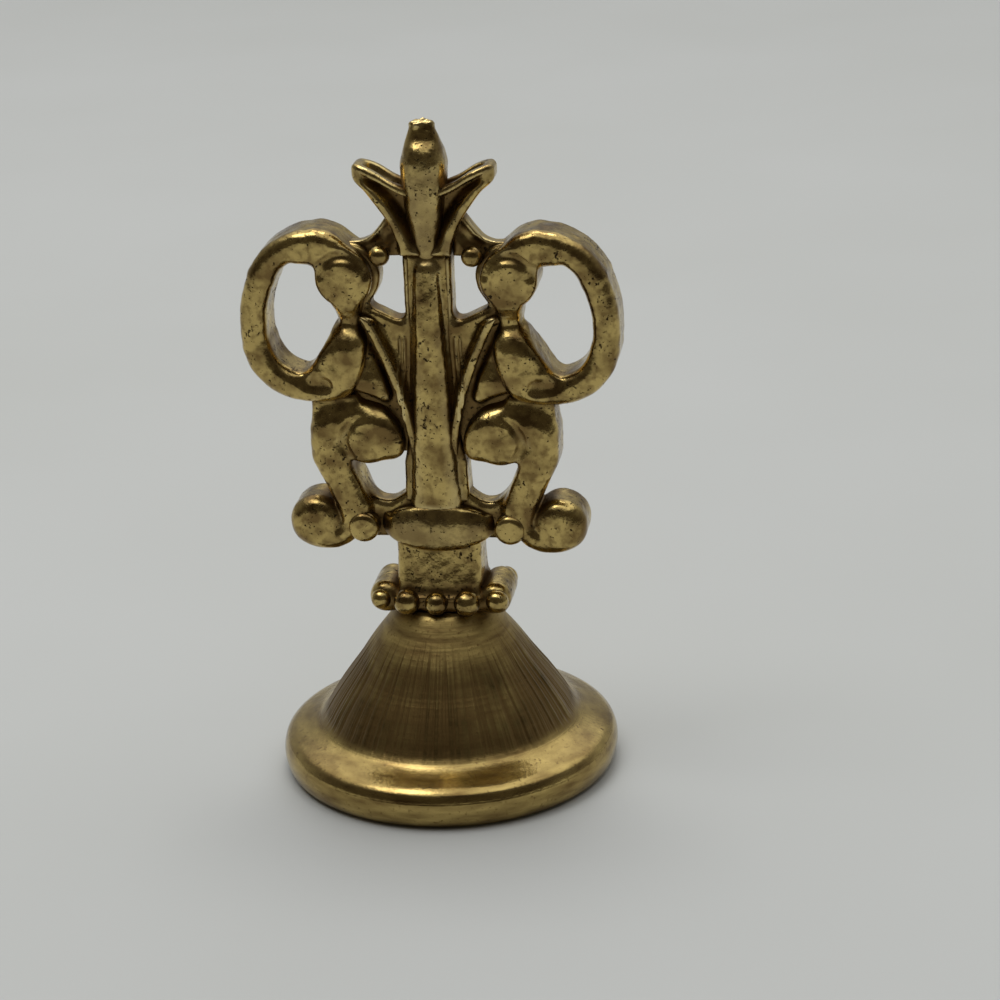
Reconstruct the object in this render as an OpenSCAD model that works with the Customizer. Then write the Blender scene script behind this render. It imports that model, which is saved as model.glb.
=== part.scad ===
// Wax seal stamp: an openwork scroll handle standing on a round bell foot that holds the seal die.
// Origin at the middle of the face that rests on the table, +Z up, front of the handle towards -Y.
// Handle outlines are drawn in the XZ plane, with z counted from the top of the band collar.

/* [Bell foot] */
// Diameter of the rim that rests on the table
rim_d = 25.4; // [22:0.1:32]
// Height of the rim's outer wall
rim_h = 2.6; // [2:0.1:4]
// Rounding of the rim's two outer edges
rim_edge = 0.6; // [0.2:0.05:0.9]
// Fall of the rim's top towards its edge, in degrees
rim_slope = 20; // [8:1:30]
// Diameter at the foot of the bell
bell_foot_d = 19.2; // [15:0.1:21]
// Diameter of the flat crown of the bell
bell_crown_d = 8.8; // [7.5:0.1:11]
// Height of the crown above the table
bell_h = 12.6; // [10:0.1:18]
// Radius of the bell's hollow flare
bell_flare_r = 40; // [20:1:90]
// Thickness of the bell's wall
bell_wall = 1.6; // [1:0.1:2.2]

/* [Seal die] */
// Diameter of the seal die
die_d = 21.6; // [18:0.1:23]
// Thickness of the seal die
die_t = 1.8; // [1.2:0.1:2.4]
// Depth of the die's face inside the rim
die_recess = 0.4; // [0.2:0.05:0.8]
// Depth of the cut design
engraving_depth = 0.4; // [0.2:0.05:0.7]
// Number of petals in the cut rosette
rosette_petals = 6; // [4:1:9]
// Radius of the rosette's ring of petals
rosette_r = 4.6; // [3.5:0.1:6]
// Diameter of one cut petal
rosette_petal_d = 3.2; // [2:0.1:3.4]
// Diameter of the cut border ring
border_d = 18; // [16:0.1:19]
// Width of the cut border ring
border_w = 0.8; // [0.4:0.1:1.2]

/* [Tie screw] */
// Diameter of the tie screw's shank
screw_d = 2.2; // [1.8:0.1:2.6]
// Diameter of its head
screw_head_d = 4.4; // [3.6:0.1:5]
// Height of its head
screw_head_h = 1.6; // [1.2:0.1:2]
// Depth that the screw reaches into the stem
screw_reach = 3.6; // [2.5:0.1:5]
// Width of the slot in the head
screw_slot_w = 0.7; // [0.5:0.1:1]
// Thickness of the washer
washer_t = 0.5; // [0.3:0.1:0.8]
// Diameter of the washer
washer_d = 5.2; // [4.6:0.1:6]

/* [Bead collar] */
// Length of the bead collar from end to end
collar_l = 10.6; // [9:0.1:13]
// Height of the bead collar
collar_h = 2.5; // [2:0.1:3.5]
// Depth of the collar at its middle
collar_depth = 6.4; // [5.6:0.1:8]
// Bow of the collar's front and back faces
collar_bow = 1.0; // [0.4:0.1:1.6]
// Number of beads on each face
collar_beads_n = 5; // [3:1:7]
// Diameter of one bead
collar_bead_d = 1.9; // [1.4:0.05:2.1]

/* [Neck and band] */
// Width of the neck block
neck_w = 6.5; // [5:0.1:8]
// Depth of the neck block
neck_depth = 4.6; // [3.8:0.1:5.4]
// Height of the neck block
neck_h = 2.4; // [1.6:0.1:4]
// Rounding of the neck's upright edges
neck_round = 0.8; // [0.3:0.1:1.4]
// Width of the band collar
band_w = 8.8; // [7.5:0.1:10]
// Height of the band collar
band_h = 3.65; // [2.8:0.05:4.4]
// Depth of the band collar at its middle
band_depth = 5.0; // [4.6:0.1:6]
// Depth of the band collar at its ends
band_end_depth = 2.8; // [2:0.1:3.6]
// Diameter of the bead beside each end of the band
band_bead_d = 2.1; // [1.6:0.05:2.3]

/* [Stem and leaves] */
// Width of the stem at its foot
stem_foot_w = 3.8; // [3.4:0.1:4.6]
// Width of the stem's upper bar
stem_top_w = 3.0; // [2.4:0.1:3.4]
// Height at which the stem becomes a straight bar
stem_taper_h = 11.8; // [9:0.1:13]
// Height of the stem
stem_h = 18.9; // [17.5:0.1:21]
// Depth of the stem's flat bar
stem_depth = 3.2; // [3:0.1:3.8]
// Width of the raised tongue at its foot
tongue_foot_w = 2.9; // [2.4:0.1:3.2]
// Width of the raised tongue at its tip
tongue_tip_w = 1.4; // [1:0.1:1.8]
// Depth over both tongues at the foot
tongue_depth = 5.0; // [4.4:0.1:5.4]
// Depth of the leaves
leaf_depth = 3.6; // [2.8:0.1:4.2]
// Height at which a leaf springs from the stem
leaf_spring = 0.8; // [0.75:0.05:1.6]
// Distance of the leaf's tip from the middle
leaf_tip_x = 5.3; // [4.8:0.1:5.8]
// Height of the leaf's tip
leaf_tip_z = 13.7; // [13:0.1:14.4]
// Radius of the leaf's hollow outer edge
leaf_edge_r = 23; // [18:0.5:34]

/* [Scrolls] */
// Width of the C scroll's band
c_band_w = 2.0; // [1.5:0.1:2.4]
// Narrowing of a scroll's band where one curve is let into the next
scroll_step = 0.06; // [0.04:0.01:0.1]
// Width of the S scroll's band
s_band_w = 2.2; // [1.7:0.1:2.6]
// Depth of the scrolls' bands
scroll_depth = 4.2; // [3.4:0.1:4.8]
// Reach of the C scroll from the middle
c_reach = 13.9; // [13:0.1:15.5]
// Height of the C scroll's widest point
c_reach_z = 13.5; // [12.8:0.1:14.2]
// Height of the C scroll's top
c_top_z = 20.85; // [20:0.05:22]
// Height of the C scroll's bottom
c_bottom_z = 7.85; // [7.4:0.05:8.4]
// Radius of the C scroll's outer side
c_side_r = 10; // [9.4:0.1:11]
// Angle at which the side passes into the top curve
c_top_turn = 25; // [20:1:32]
// Angle at which the side passes into the bottom curve
c_bottom_turn = 20; // [16:1:26]
// Diameter of the upper volute
upper_volute_d = 3.9; // [3.2:0.1:4.3]
// Distance of the upper volute from the middle
upper_volute_x = 5.95; // [5.7:0.05:6.3]
// Height of the upper volute
upper_volute_z = 17.3; // [16.9:0.05:17.8]
// Diameter of the lower volute
lower_volute_d = 3.9; // [3.2:0.1:4.2]
// Height of the lower volute
lower_volute_z = 10.9; // [10.5:0.05:11.3]
// Depth of the volutes
volute_depth = 4.6; // [3.8:0.1:5]
// Rounding of the volutes' edges
volute_round = 0.6; // [0.2:0.05:0.9]
// Width of the bar between the two volutes
volute_bar_w = 1.1; // [0.8:0.1:1.5]
// Depth of the bar between the two volutes
volute_bar_depth = 2.2; // [1.4:0.1:3]
// Outer diameter of the S scroll's head
s_head_d = 7.0; // [6.4:0.1:7.4]
// Height of the S scroll's head
s_head_z = 4.5; // [4.2:0.05:4.8]
// Diameter of the disc inside the S scroll's head
s_disc_d = 3.8; // [3.2:0.1:4.2]
// Depth of the shoulder between the S scroll's head and the C scroll
shoulder_depth = 2.8; // [2:0.1:3.4]
// Width of the S scroll's leg
s_leg_w = 2.4; // [1.8:0.1:2.8]
// Distance of the S scroll's foot curl from the middle
s_foot_x = 8.25; // [8:0.05:8.8]
// Drop of the foot curl's middle below the top of the band collar
s_foot_drop = 0.85; // [0.5:0.05:1.1]
// Outer diameter of the foot curl
s_foot_d = 5.7; // [5.2:0.1:6.2]
// Width of the foot curl's band
s_foot_band_w = 1.7; // [1.3:0.1:2]
// Diameter of the ball in the foot curl
s_ball_d = 3.7; // [3.2:0.1:4]
// Thickness of the webs between the ornaments
web_t = 1.4; // [1:0.1:2]
// Height of the web above the band collar
web_h = 0.7; // [0.4:0.05:0.75]
// Depth of the filler pads' raised faces
pad_depth = 3.2; // [2.4:0.1:3.8]
// Diameter of the filler pads' raised faces
pad_d = 2.2; // [1.6:0.1:2.6]
// Diameter of the rounded foot of the upper openings
upper_opening_d = 3.0; // [2.6:0.1:3.3]

/* [Finial] */
// Height of the finial's bud above the stem
bud_h = 9.9; // [8.5:0.1:12]
// Largest diameter of the bud
bud_d = 3.1; // [2.6:0.1:3.6]
// Depth of the petals
petal_depth = 2.6; // [2.2:0.1:3.2]
// Distance of a petal's tip from the middle
petal_tip_x = 5.1; // [4.7:0.1:5.4]
// Height of a petal's tip above the stem
petal_tip_z = 6.8; // [6.2:0.1:7.4]
// Width of a petal's blunt tip
petal_tip_w = 0.5; // [0.3:0.05:0.8]
// Half width of the petals at their foot
petal_foot_x = 2.9; // [2.6:0.1:3.2]
// Radius of the petal's hollow outer edge
petal_edge_r = 3.6; // [3.3:0.1:4]
// Distance of the petal's waist from the middle
petal_waist_x = 3.55; // [3.4:0.05:3.7]
// Height of the petal's waist above the stem
petal_waist_z = 3.3; // [3.1:0.05:3.6]
// Diameter of the bead at each petal's foot
petal_bead_d = 1.4; // [1:0.05:1.6]
// Rise of the links over the petals' waist
link_rise = 0.2; // [0.1:0.05:0.4]
// Depth of the links between petals and C scrolls
link_depth = 2.4; // [1.8:0.1:3]

/* [Fits] */
// Width of the brazed joint between curved pieces
braze_gap = 0.08; // [0.05:0.01:0.15]
// Radial room round the die
die_clear = 0.06; // [0.03:0.01:0.15]
// Radial room round the tie screw's shank
screw_clear = 0.15; // [0.05:0.01:0.25]
// Radial room round the tie screw's end in the stem
thread_clear = 0.03; // [0.02:0.01:0.06]
// Air over the end of the tie screw
bore_air = 0.4; // [0.2:0.1:1]

/* [Hidden] */
$fn = 96;
cut = 0.5;
gold = "#a38b4e";
pale_gold = "#b9a364";
steel = "#8d9093";

// Heights of the stack that the tie screw clamps
collar_z = bell_h;
neck_z = collar_z + collar_h;
band_z = neck_z + neck_h;
datum = band_z + band_h;
crown_z = bell_h - bell_wall;
washer_z = crown_z - washer_t;
bore_d = screw_d + 2 * screw_clear;

// Bell profile
rim_r = rim_d / 2;
slope_x = rim_r - rim_edge * (1 - sin(rim_slope));
slope_z = rim_h - rim_edge * (1 - cos(rim_slope));
foot_r = bell_foot_d / 2;
foot_z = slope_z + (slope_x - foot_r) * tan(rim_slope);
crown_r = bell_crown_d / 2;
bell_lean = atan2(bell_h - foot_z, foot_r - crown_r);
bell_wall_x = bell_wall / sin(bell_lean);
die_top_z = die_recess + die_t;
die_seat_w = 1.2;

// Bow of the bead collar: radius of each face and its middle
bow_r = (pow(collar_l / 2, 2) + pow(collar_bow, 2)) / (2 * collar_bow);
bow_y = bow_r - collar_depth / 2;
collar_bead_pitch = (collar_l - collar_bead_d) / (collar_beads_n - 1);

// Plan of the band collar: radius that draws its depth in towards the ends
band_draw = (band_depth - band_end_depth) / 2;
band_plan_r = (pow(band_w / 2, 2) + pow(band_draw, 2)) / (2 * band_draw);

// Leaf edge: middle of the hollow arc through the leaf's foot and tip
leaf_foot = [stem_side(leaf_spring), leaf_spring];
leaf_tip = [leaf_tip_x, leaf_tip_z];
leaf_mid = arc_middle(leaf_foot, leaf_tip, leaf_edge_r);

// C scroll: middle lines of its five curves, each passing into the next
c_mid_w = c_band_w / 2;
c_lap = 1;
c_side = [c_reach - c_side_r, c_reach_z];
c_top_r = (c_top_z - c_reach_z - c_side_r * sin(c_top_turn)) / (1 - sin(c_top_turn));
c_top = c_side + (c_side_r - c_top_r) * [cos(c_top_turn), sin(c_top_turn)];
c_bottom_r = (c_reach_z - c_bottom_z - c_side_r * sin(c_bottom_turn)) / (1 - sin(c_bottom_turn));
c_bottom = c_side + (c_side_r - c_bottom_r) * [cos(c_bottom_turn), -sin(c_bottom_turn)];
upper_volute = [upper_volute_x, upper_volute_z];
lower_volute_r = lower_volute_d / 2;
lower_volute = [beside_leaf(lower_volute_z, lower_volute_r), lower_volute_z];
curl_in = [c_top.x - upper_volute.x, c_top_z - c_mid_w - upper_volute.y];
curl_r = norm_sq(curl_in) / (2 * curl_in.y);
curl_mid = [c_top.x, c_top_z - c_mid_w - curl_r];
curl_sweep = atan2(curl_in.x, curl_r - curl_in.y);
tail_in = [c_bottom.x - lower_volute.x, lower_volute.y - c_bottom_z - c_mid_w];
tail_r = norm_sq(tail_in) / (2 * tail_in.y);
tail_mid = [c_bottom.x, c_bottom_z + c_mid_w + tail_r];
tail_sweep = atan2(tail_in.x, tail_r - tail_in.y);

// S scroll: head beside the leaf, leg, and foot curl
s_head_r = s_head_d / 2;
s_head = [beside_leaf(s_head_z, s_head_r), s_head_z];
s_head_mid_r = s_head_r - s_band_w / 2;
s_head_turn = 20;
s_disc = s_head + [s_disc_d / 2 - s_head_r, 0] + [s_band_w / 4, 0];
s_foot = [s_foot_x, -s_foot_drop];
s_foot_mid_r = (s_foot_d - s_foot_band_w) / 2;
s_foot_turn = 165;
s_foot_end = 345;
s_leg_top = s_head + s_head_mid_r * [cos(s_head_turn), -sin(s_head_turn)];
s_leg_foot = s_foot + s_foot_mid_r * [cos(s_foot_turn), sin(s_foot_turn)];
s_ball = s_foot + [s_foot_mid_r / 4, s_foot_mid_r / 20];
band_bead = [(band_w / 2 + s_foot.x - s_foot_d / 2) / 2, s_foot.y - s_foot_d / 6];

// Finial: arc of the bud's side and middle of the petal's hollow edge
bud_r = bud_d / 2;
bud_side_r = (pow(bud_h / 2, 2) + pow(bud_r, 2)) / (2 * bud_r);
bud_steps = 14;

// Share of a bead's diameter by which its middle stands off its seat
bead_stand = 0.2;
petal_edge = [petal_waist_x + petal_edge_r, petal_waist_z];
petal_bead = [petal_foot_x, petal_bead_d / 10];

function norm_sq(v) = v.x * v.x + v.y * v.y;

// Half width of the stem at a height
function stem_side(z) =
  z > stem_taper_h ? stem_top_w / 2 : (stem_foot_w + (stem_top_w - stem_foot_w) * z / stem_taper_h) / 2;

// Middle of the arc from a to b that bulges to the left of that direction
function arc_middle(a, b, r) =
  let (d = b - a, n = [d.y, -d.x] / norm(d))
  (a + b) / 2 + n * sqrt(r * r - norm_sq(d) / 4);

// Distance from the middle at which a round piece at height z lies against the leaf's edge
function beside_leaf(z, r) =
  leaf_mid.x - sqrt(pow(leaf_edge_r - r - braze_gap, 2) - pow(z - leaf_mid.y, 2));

// Radius of the bud at a share of its height
function bud_width(t) = sqrt(pow(bud_side_r, 2) - pow((t - 0.5) * bud_h, 2)) - bud_side_r + bud_r;

// Sets the handle's outlines on top of the band collar
module on_band() {
  translate([0, 0, datum]) children();
}

// Solid of even depth from an outline in the XZ plane
module plate(depth) {
  rotate([90, 0, 0]) linear_extrude(depth, center = true) children();
}

module disc_at(p, r) {
  translate(p) circle(r);
}

// Section of a band: flat sides and half round front and back
module band_section(w, depth) {
  square([w, depth - w], center = true);
  translate([0, (depth - w) / 2]) circle(d = w);
  translate([0, (w - depth) / 2]) circle(d = w);
}

// Band bent round p, from one angle to another
module bent_band(p, r, from, to, w, depth) {
  translate([p.x, 0, p.y])
    rotate([90, 0, 0])
      rotate([0, 0, from])
        rotate_extrude(angle = to - from) translate([r, 0]) band_section(w, depth);
}

// Straight band from a to b
module straight_band(a, b, w, depth) {
  d = b - a;
  translate([a.x, 0, a.y])
    rotate([0, atan2(d.x, d.y), 0])
      linear_extrude(norm(d)) band_section(w, depth);
}

// Round boss through the whole depth, with rounded edges
module volute(p, d, depth, edge) {
  half = depth / 2;
  translate([p.x, 0, p.y])
    rotate([90, 0, 0])
      rotate_extrude() {
        translate([0, -half]) square([d / 2 - edge, depth]);
        translate([0, edge - half]) square([d / 2, depth - 2 * edge]);
        translate([d / 2 - edge, half - edge]) circle(edge);
        translate([d / 2 - edge, edge - half]) circle(edge);
      }
}

// Outlines of the C scroll's outer curves, grown by g, which its neighbours are cut to
module c_outline(g) {
  tail_outer_r = tail_r + c_mid_w + g;
  span = tail_outer_r + c_bottom_r;
  disc_at(upper_volute, upper_volute_d / 2 + g);
  disc_at(lower_volute, lower_volute_r + g);
  // The top curl runs above the upper volute's middle only
  intersection() {
    disc_at(curl_mid, curl_r + c_mid_w + g);
    translate([c_top.x - span, upper_volute.y]) square(2 * span);
  }
  // The bottom curve and the tail run below the lower volute's middle only
  intersection() {
    union() {
      disc_at(tail_mid, tail_outer_r);
      disc_at(c_bottom, c_bottom_r + g);
    }
    translate([c_bottom.x - span, lower_volute.y - 2 * span]) square(2 * span);
  }
}

module bell_section() {
  difference() {
    union() {
      polygon([
        [0, 0], [rim_r - rim_edge, 0], [rim_r - rim_edge, rim_h - rim_edge],
        [slope_x, slope_z], [foot_r, foot_z], [0, foot_z]
      ]);
      translate([0, rim_edge]) square([rim_r, rim_h - 2 * rim_edge]);
      translate([rim_r - rim_edge, rim_edge]) circle(rim_edge);
      translate([rim_r - rim_edge, rim_h - rim_edge]) circle(rim_edge);
      difference() {
        translate([0, foot_z - cut]) square([foot_r, bell_h - foot_z + cut]);
        disc_at(arc_middle([foot_r, foot_z], [crown_r, bell_h], bell_flare_r), bell_flare_r);
      }
    }
    bell_hollow();
  }
}

// Room for the die, the hollow over it and the hole in the crown
module bell_hollow() {
  translate([0, -cut]) square([die_d / 2 + die_clear, die_top_z + cut]);
  polygon([
    [0, die_top_z - cut], [die_d / 2 - die_seat_w, die_top_z - cut], [die_d / 2 - die_seat_w, die_top_z],
    [foot_r - bell_wall_x, foot_z], [washer_d / 2 + screw_clear, crown_z], [0, crown_z]
  ]);
  square([bore_d / 2, bell_h + cut]);
}

module bell_foot() {
  color(gold) rotate_extrude() bell_section();
}

// Disc cut with a plain border and a rosette, which press into the wax
module seal_die() {
  color(pale_gold)
    difference() {
      translate([0, 0, die_recess]) cylinder(d = die_d, h = die_t);
      translate([0, 0, die_recess - cut])
        difference() {
          cylinder(d = border_d, h = engraving_depth + cut);
          translate([0, 0, -cut]) cylinder(d = border_d - 2 * border_w, h = engraving_depth + 3 * cut);
        }
      for (i = [0 : rosette_petals - 1])
        rotate([0, 0, i * 360 / rosette_petals])
          translate([rosette_r, 0, die_recess - cut])
            cylinder(d = rosette_petal_d, h = engraving_depth + cut);
      translate([0, 0, die_recess - cut]) cylinder(d = rosette_petal_d, h = engraving_depth + cut);
    }
}

// Screw that clamps the foot, the collars and the neck to the stem
module tie_screw() {
  color(steel)
    difference() {
      union() {
        translate([0, 0, washer_z - screw_head_h]) cylinder(d = screw_head_d, h = screw_head_h);
        translate([0, 0, washer_z]) cylinder(d = screw_d, h = datum + screw_reach - washer_z);
      }
      translate([0, 0, washer_z - screw_head_h])
        cube([screw_head_d + cut, screw_slot_w, screw_head_h], center = true);
    }
}

module washer() {
  color(steel)
    translate([0, 0, washer_z])
      difference() {
        cylinder(d = washer_d, h = washer_t);
        translate([0, 0, -cut]) cylinder(d = bore_d, h = washer_t + 2 * cut);
      }
}

// Plan of the bead collar, grown by g
module collar_plan(g) {
  intersection() {
    square([collar_l, collar_depth + 2 * g], center = true);
    disc_at([0, bow_y], bow_r + g);
    disc_at([0, -bow_y], bow_r + g);
  }
}

module bead_collar() {
  color(gold)
    translate([0, 0, collar_z])
      linear_extrude(collar_h)
        difference() {
          collar_plan(0);
          circle(d = bore_d);
        }
}

module collar_beads() {
  color(pale_gold)
    for (side = [-1, 1], i = [0 : collar_beads_n - 1])
      collar_bead((i - (collar_beads_n - 1) / 2) * collar_bead_pitch, side);
}

// One bead on the collar's bowed face
module collar_bead(x, side) {
  y = sqrt(bow_r * bow_r - x * x) - bow_y + bead_stand * collar_bead_d;
  difference() {
    translate([x, side * y, collar_z + collar_h / 2]) sphere(d = collar_bead_d);
    translate([0, -side * bow_y, collar_z - cut]) cylinder(r = bow_r + braze_gap, h = collar_h + 2 * cut);
  }
}

module neck_block() {
  color(gold)
    translate([0, 0, neck_z])
      linear_extrude(neck_h)
        difference() {
          union() {
            square([neck_w - 2 * neck_round, neck_depth], center = true);
            square([neck_w, neck_depth - 2 * neck_round], center = true);
            for (x = [-1, 1], y = [-1, 1])
              translate([x * (neck_w / 2 - neck_round), y * (neck_depth / 2 - neck_round)])
                circle(neck_round);
          }
          circle(d = bore_d);
        }
}

// Barrel that bulges at the front and back and is drawn in towards its ends
module band_collar() {
  color(pale_gold)
    translate([0, 0, band_z])
      difference() {
        intersection() {
          linear_extrude(band_h)
            intersection() {
              square([band_w, band_depth], center = true);
              disc_at([0, band_plan_r - band_depth / 2], band_plan_r);
              disc_at([0, band_depth / 2 - band_plan_r], band_plan_r);
            }
          translate([0, 0, band_h / 2])
            rotate([0, 90, 0]) cylinder(d = band_depth, h = band_w + cut, center = true);
        }
        translate([0, 0, -cut]) cylinder(d = bore_d, h = band_h + 2 * cut);
      }
}

module band_beads() {
  color(pale_gold)
    on_band()
      for (x = [-1, 1], y = [-1, 1])
        difference() {
          translate([x * band_bead.x, y * (web_t / 2 + bead_stand * band_bead_d), band_bead.y])
            sphere(d = band_bead_d);
          translate([x * band_bead.x, 0, band_bead.y])
            cube([2 * band_bead_d, web_t, 2 * band_bead_d], center = true);
        }
}

// Flat bar with a raised tongue on the front and back, bored for the tie screw
module stem() {
  tongue_y = (tongue_depth - tongue_foot_w) / 2;
  tongue_h = stem_h - tongue_tip_w;
  color(gold)
    on_band()
      difference() {
        union() {
          plate(stem_depth)
            polygon([
              [-stem_foot_w / 2, 0], [stem_foot_w / 2, 0], [stem_top_w / 2, stem_taper_h],
              [stem_top_w / 2, stem_h], [-stem_top_w / 2, stem_h], [-stem_top_w / 2, stem_taper_h]
            ]);
          for (side = [-1, 1])
            translate([0, side * tongue_y, 0]) {
              cylinder(d1 = tongue_foot_w, d2 = tongue_tip_w, h = tongue_h);
              translate([0, 0, tongue_h]) sphere(d = tongue_tip_w);
            }
        }
        translate([0, 0, -cut]) cylinder(d = screw_d + 2 * thread_clear, h = screw_reach + bore_air + cut);
      }
}

module leaf_outline() {
  difference() {
    polygon([
      leaf_foot, [leaf_tip.x, leaf_foot.y], leaf_tip,
      [stem_side(stem_taper_h), stem_taper_h]
    ]);
    disc_at(leaf_mid, leaf_edge_r);
  }
}

module right_leaf() {
  color(pale_gold) on_band() plate(leaf_depth) leaf_outline();
}

module left_leaf() {
  mirror([1, 0, 0]) right_leaf();
}

// Band that runs from the upper volute over the side to the lower volute
module right_c_scroll() {
  c_next_w = c_band_w - scroll_step;
  c_next_depth = scroll_depth - scroll_step;
  c_end_w = c_next_w - scroll_step;
  c_end_depth = c_next_depth - scroll_step;
  color(gold)
    on_band() {
      bent_band(c_side, c_side_r - c_mid_w, -c_bottom_turn, c_top_turn, c_band_w, scroll_depth);
      bent_band(c_top, c_top_r - c_mid_w, c_top_turn - c_lap, 90, c_next_w, c_next_depth);
      bent_band(curl_mid, curl_r, 90 - c_lap, 90 + curl_sweep, c_end_w, c_end_depth);
      bent_band(c_bottom, c_bottom_r - c_mid_w, -90, c_lap - c_bottom_turn, c_next_w, c_next_depth);
      bent_band(tail_mid, tail_r, -90 - tail_sweep, c_lap - 90, c_end_w, c_end_depth);
      volute(upper_volute, upper_volute_d, volute_depth, volute_round);
      volute(lower_volute, lower_volute_d, volute_depth, volute_round);
      straight_band(lower_volute, upper_volute, volute_bar_w, volute_bar_depth);
    }
}

module left_c_scroll() {
  mirror([1, 0, 0]) right_c_scroll();
}

// Shoulder that carries the C scroll on the head of the S scroll
module s_shoulder() {
  shoulder_x = s_head.x + s_head_r - 2 * scroll_step;
  difference() {
    polygon([
      s_head, [shoulder_x, s_head.y], [shoulder_x, c_bottom_z + c_mid_w], lower_volute
    ]);
    c_outline(braze_gap);
  }
}

// Web on the band collar, between the stem and the foot curl
module s_web() {
  collar_side = band_w / 2 + braze_gap;
  curl_side = s_foot.x - s_foot_mid_r;
  low = band_bead.y - band_bead_d / 2;
  polygon([
    [stem_side(0), 0], [collar_side, 0], [collar_side, low], [curl_side, low],
    [curl_side, web_h], [stem_side(web_h), web_h]
  ]);
}

module right_s_scroll() {
  leg_depth = scroll_depth - scroll_step;
  color(gold)
    on_band() {
      bent_band(s_head, s_head_mid_r, -s_head_turn, 180, s_band_w, scroll_depth);
      volute(s_disc, s_disc_d, volute_depth, volute_round);
      straight_band(s_leg_top, s_leg_foot, s_leg_w, leg_depth);
      bent_band(s_foot, s_foot_mid_r, s_foot_turn, s_foot_end, s_foot_band_w, leg_depth - scroll_step);
      volute(s_ball, s_ball_d, volute_depth, volute_round);
      plate(shoulder_depth) s_shoulder();
      plate(web_t) s_web();
    }
}

module left_s_scroll() {
  mirror([1, 0, 0]) right_s_scroll();
}

// Space between the leaf, the lower volute and the S scroll
module pad_outline() {
  difference() {
    intersection() {
      polygon([s_head, [0, s_head.y], [0, lower_volute.y - lower_volute_r / 3], lower_volute]);
      disc_at(leaf_mid, leaf_edge_r - braze_gap);
    }
    c_outline(braze_gap);
    disc_at(s_head, s_head_r + braze_gap);
    translate(s_head) square([s_head_r, lower_volute.y]);
  }
}

module right_pad() {
  pad_mid = (lower_volute + s_head) / 2 + [-pad_d / 2, pad_d / 3];
  color(pale_gold)
    on_band() {
      plate(web_t) pad_outline();
      plate(pad_depth)
        intersection() {
          pad_outline();
          disc_at(pad_mid, pad_d / 2);
        }
    }
}

module left_pad() {
  mirror([1, 0, 0]) right_pad();
}

// Web between the stem, the leaf's top edge and the upper volute
module right_web() {
  bar_side = (upper_volute.x + lower_volute.x - volute_bar_w) / 2 - braze_gap;
  opening_r = upper_opening_d / 2;
  opening = [stem_side(stem_h) + opening_r - braze_gap, upper_volute.y - upper_volute_d / 2];
  color(gold)
    on_band()
      plate(web_t)
        difference() {
          polygon([
            [stem_side(stem_taper_h), stem_taper_h], leaf_tip, [bar_side, leaf_tip.y],
            [bar_side, upper_volute.y], [opening.x + opening_r - braze_gap, opening.y],
            [stem_side(stem_h), opening.y]
          ]);
          disc_at(opening, opening_r);
          c_outline(braze_gap);
        }
}

module left_web() {
  mirror([1, 0, 0]) right_web();
}

// Pointed bud turned about the upright axis, grown by g
module bud_solid(g) {
  rotate_extrude()
    polygon([
      [0, -g], [0, bud_h + g],
      for (i = [bud_steps - 1 : -1 : 1]) [bud_width(i / bud_steps) + g, i * bud_h / bud_steps]
    ]);
}

module finial_bud() {
  color(pale_gold) on_band() translate([0, 0, stem_h]) bud_solid(0);
}

module petal_outline() {
  difference() {
    polygon([
      [0, 0], [petal_foot_x, 0], [petal_edge.x - petal_edge_r / 2, petal_bead_d],
      [petal_tip_x, petal_tip_z], [petal_tip_x - petal_tip_w, petal_tip_z + petal_tip_w / 2],
      [bud_r + 2 * petal_tip_w, petal_tip_z + petal_tip_w / 2],
      [bud_r / 2, petal_tip_z - bud_r], [0, petal_tip_z - bud_r]
    ]);
    disc_at(petal_edge, petal_edge_r);
  }
}

module right_petal() {
  color(gold)
    on_band()
      translate([0, 0, stem_h])
        difference() {
          plate(petal_depth) petal_outline();
          bud_solid(braze_gap);
        }
}

module left_petal() {
  mirror([1, 0, 0]) right_petal();
}

module petal_beads() {
  color(pale_gold)
    on_band()
      translate([0, 0, stem_h])
        for (x = [-1, 1], y = [-1, 1])
          difference() {
            translate([x * petal_bead.x, y * (petal_depth / 2 + bead_stand * petal_bead_d), petal_bead.y])
              sphere(d = petal_bead_d);
            translate([x * petal_bead.x, 0, petal_bead.y])
              cube([2 * petal_bead_d, petal_depth, 2 * petal_bead_d], center = true);
          }
}

// Small web from a petal's waist to the top of the C scroll
module right_link() {
  waist = petal_edge + [-petal_edge_r, stem_h];
  color(gold)
    on_band()
      plate(link_depth)
        difference() {
          intersection() {
            polygon([
              [petal_foot_x, stem_h + petal_bead_d], [petal_foot_x, waist.y + link_rise],
              waist + [link_rise, link_rise], curl_mid
            ]);
            disc_at(petal_edge + [0, stem_h], petal_edge_r - braze_gap);
          }
          c_outline(braze_gap);
        }
}

module left_link() {
  mirror([1, 0, 0]) right_link();
}

bell_foot();
seal_die();
tie_screw();
washer();
bead_collar();
collar_beads();
neck_block();
band_collar();
band_beads();
stem();
left_leaf();
right_leaf();
left_c_scroll();
right_c_scroll();
left_s_scroll();
right_s_scroll();
left_pad();
right_pad();
left_web();
right_web();
finial_bud();
left_petal();
right_petal();
petal_beads();
left_link();
right_link();
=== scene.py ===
# %% [markdown]
# # A wax seal stamp in gilt cast brass
# The stamp stands on a turned bell foot. Above it sit a beaded collar, a neck, a bulging band and an
# openwork handle of scrolls, leaves and a bud. This lesson shapes each piece as a caster would meet it:
# soft where molten metal rounds every corner, dark in the hollows, bright where fingers have rubbed it.

# %% Load the frame
import math

import bpy
import numpy as np
from mathutils import Matrix, Vector


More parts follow.
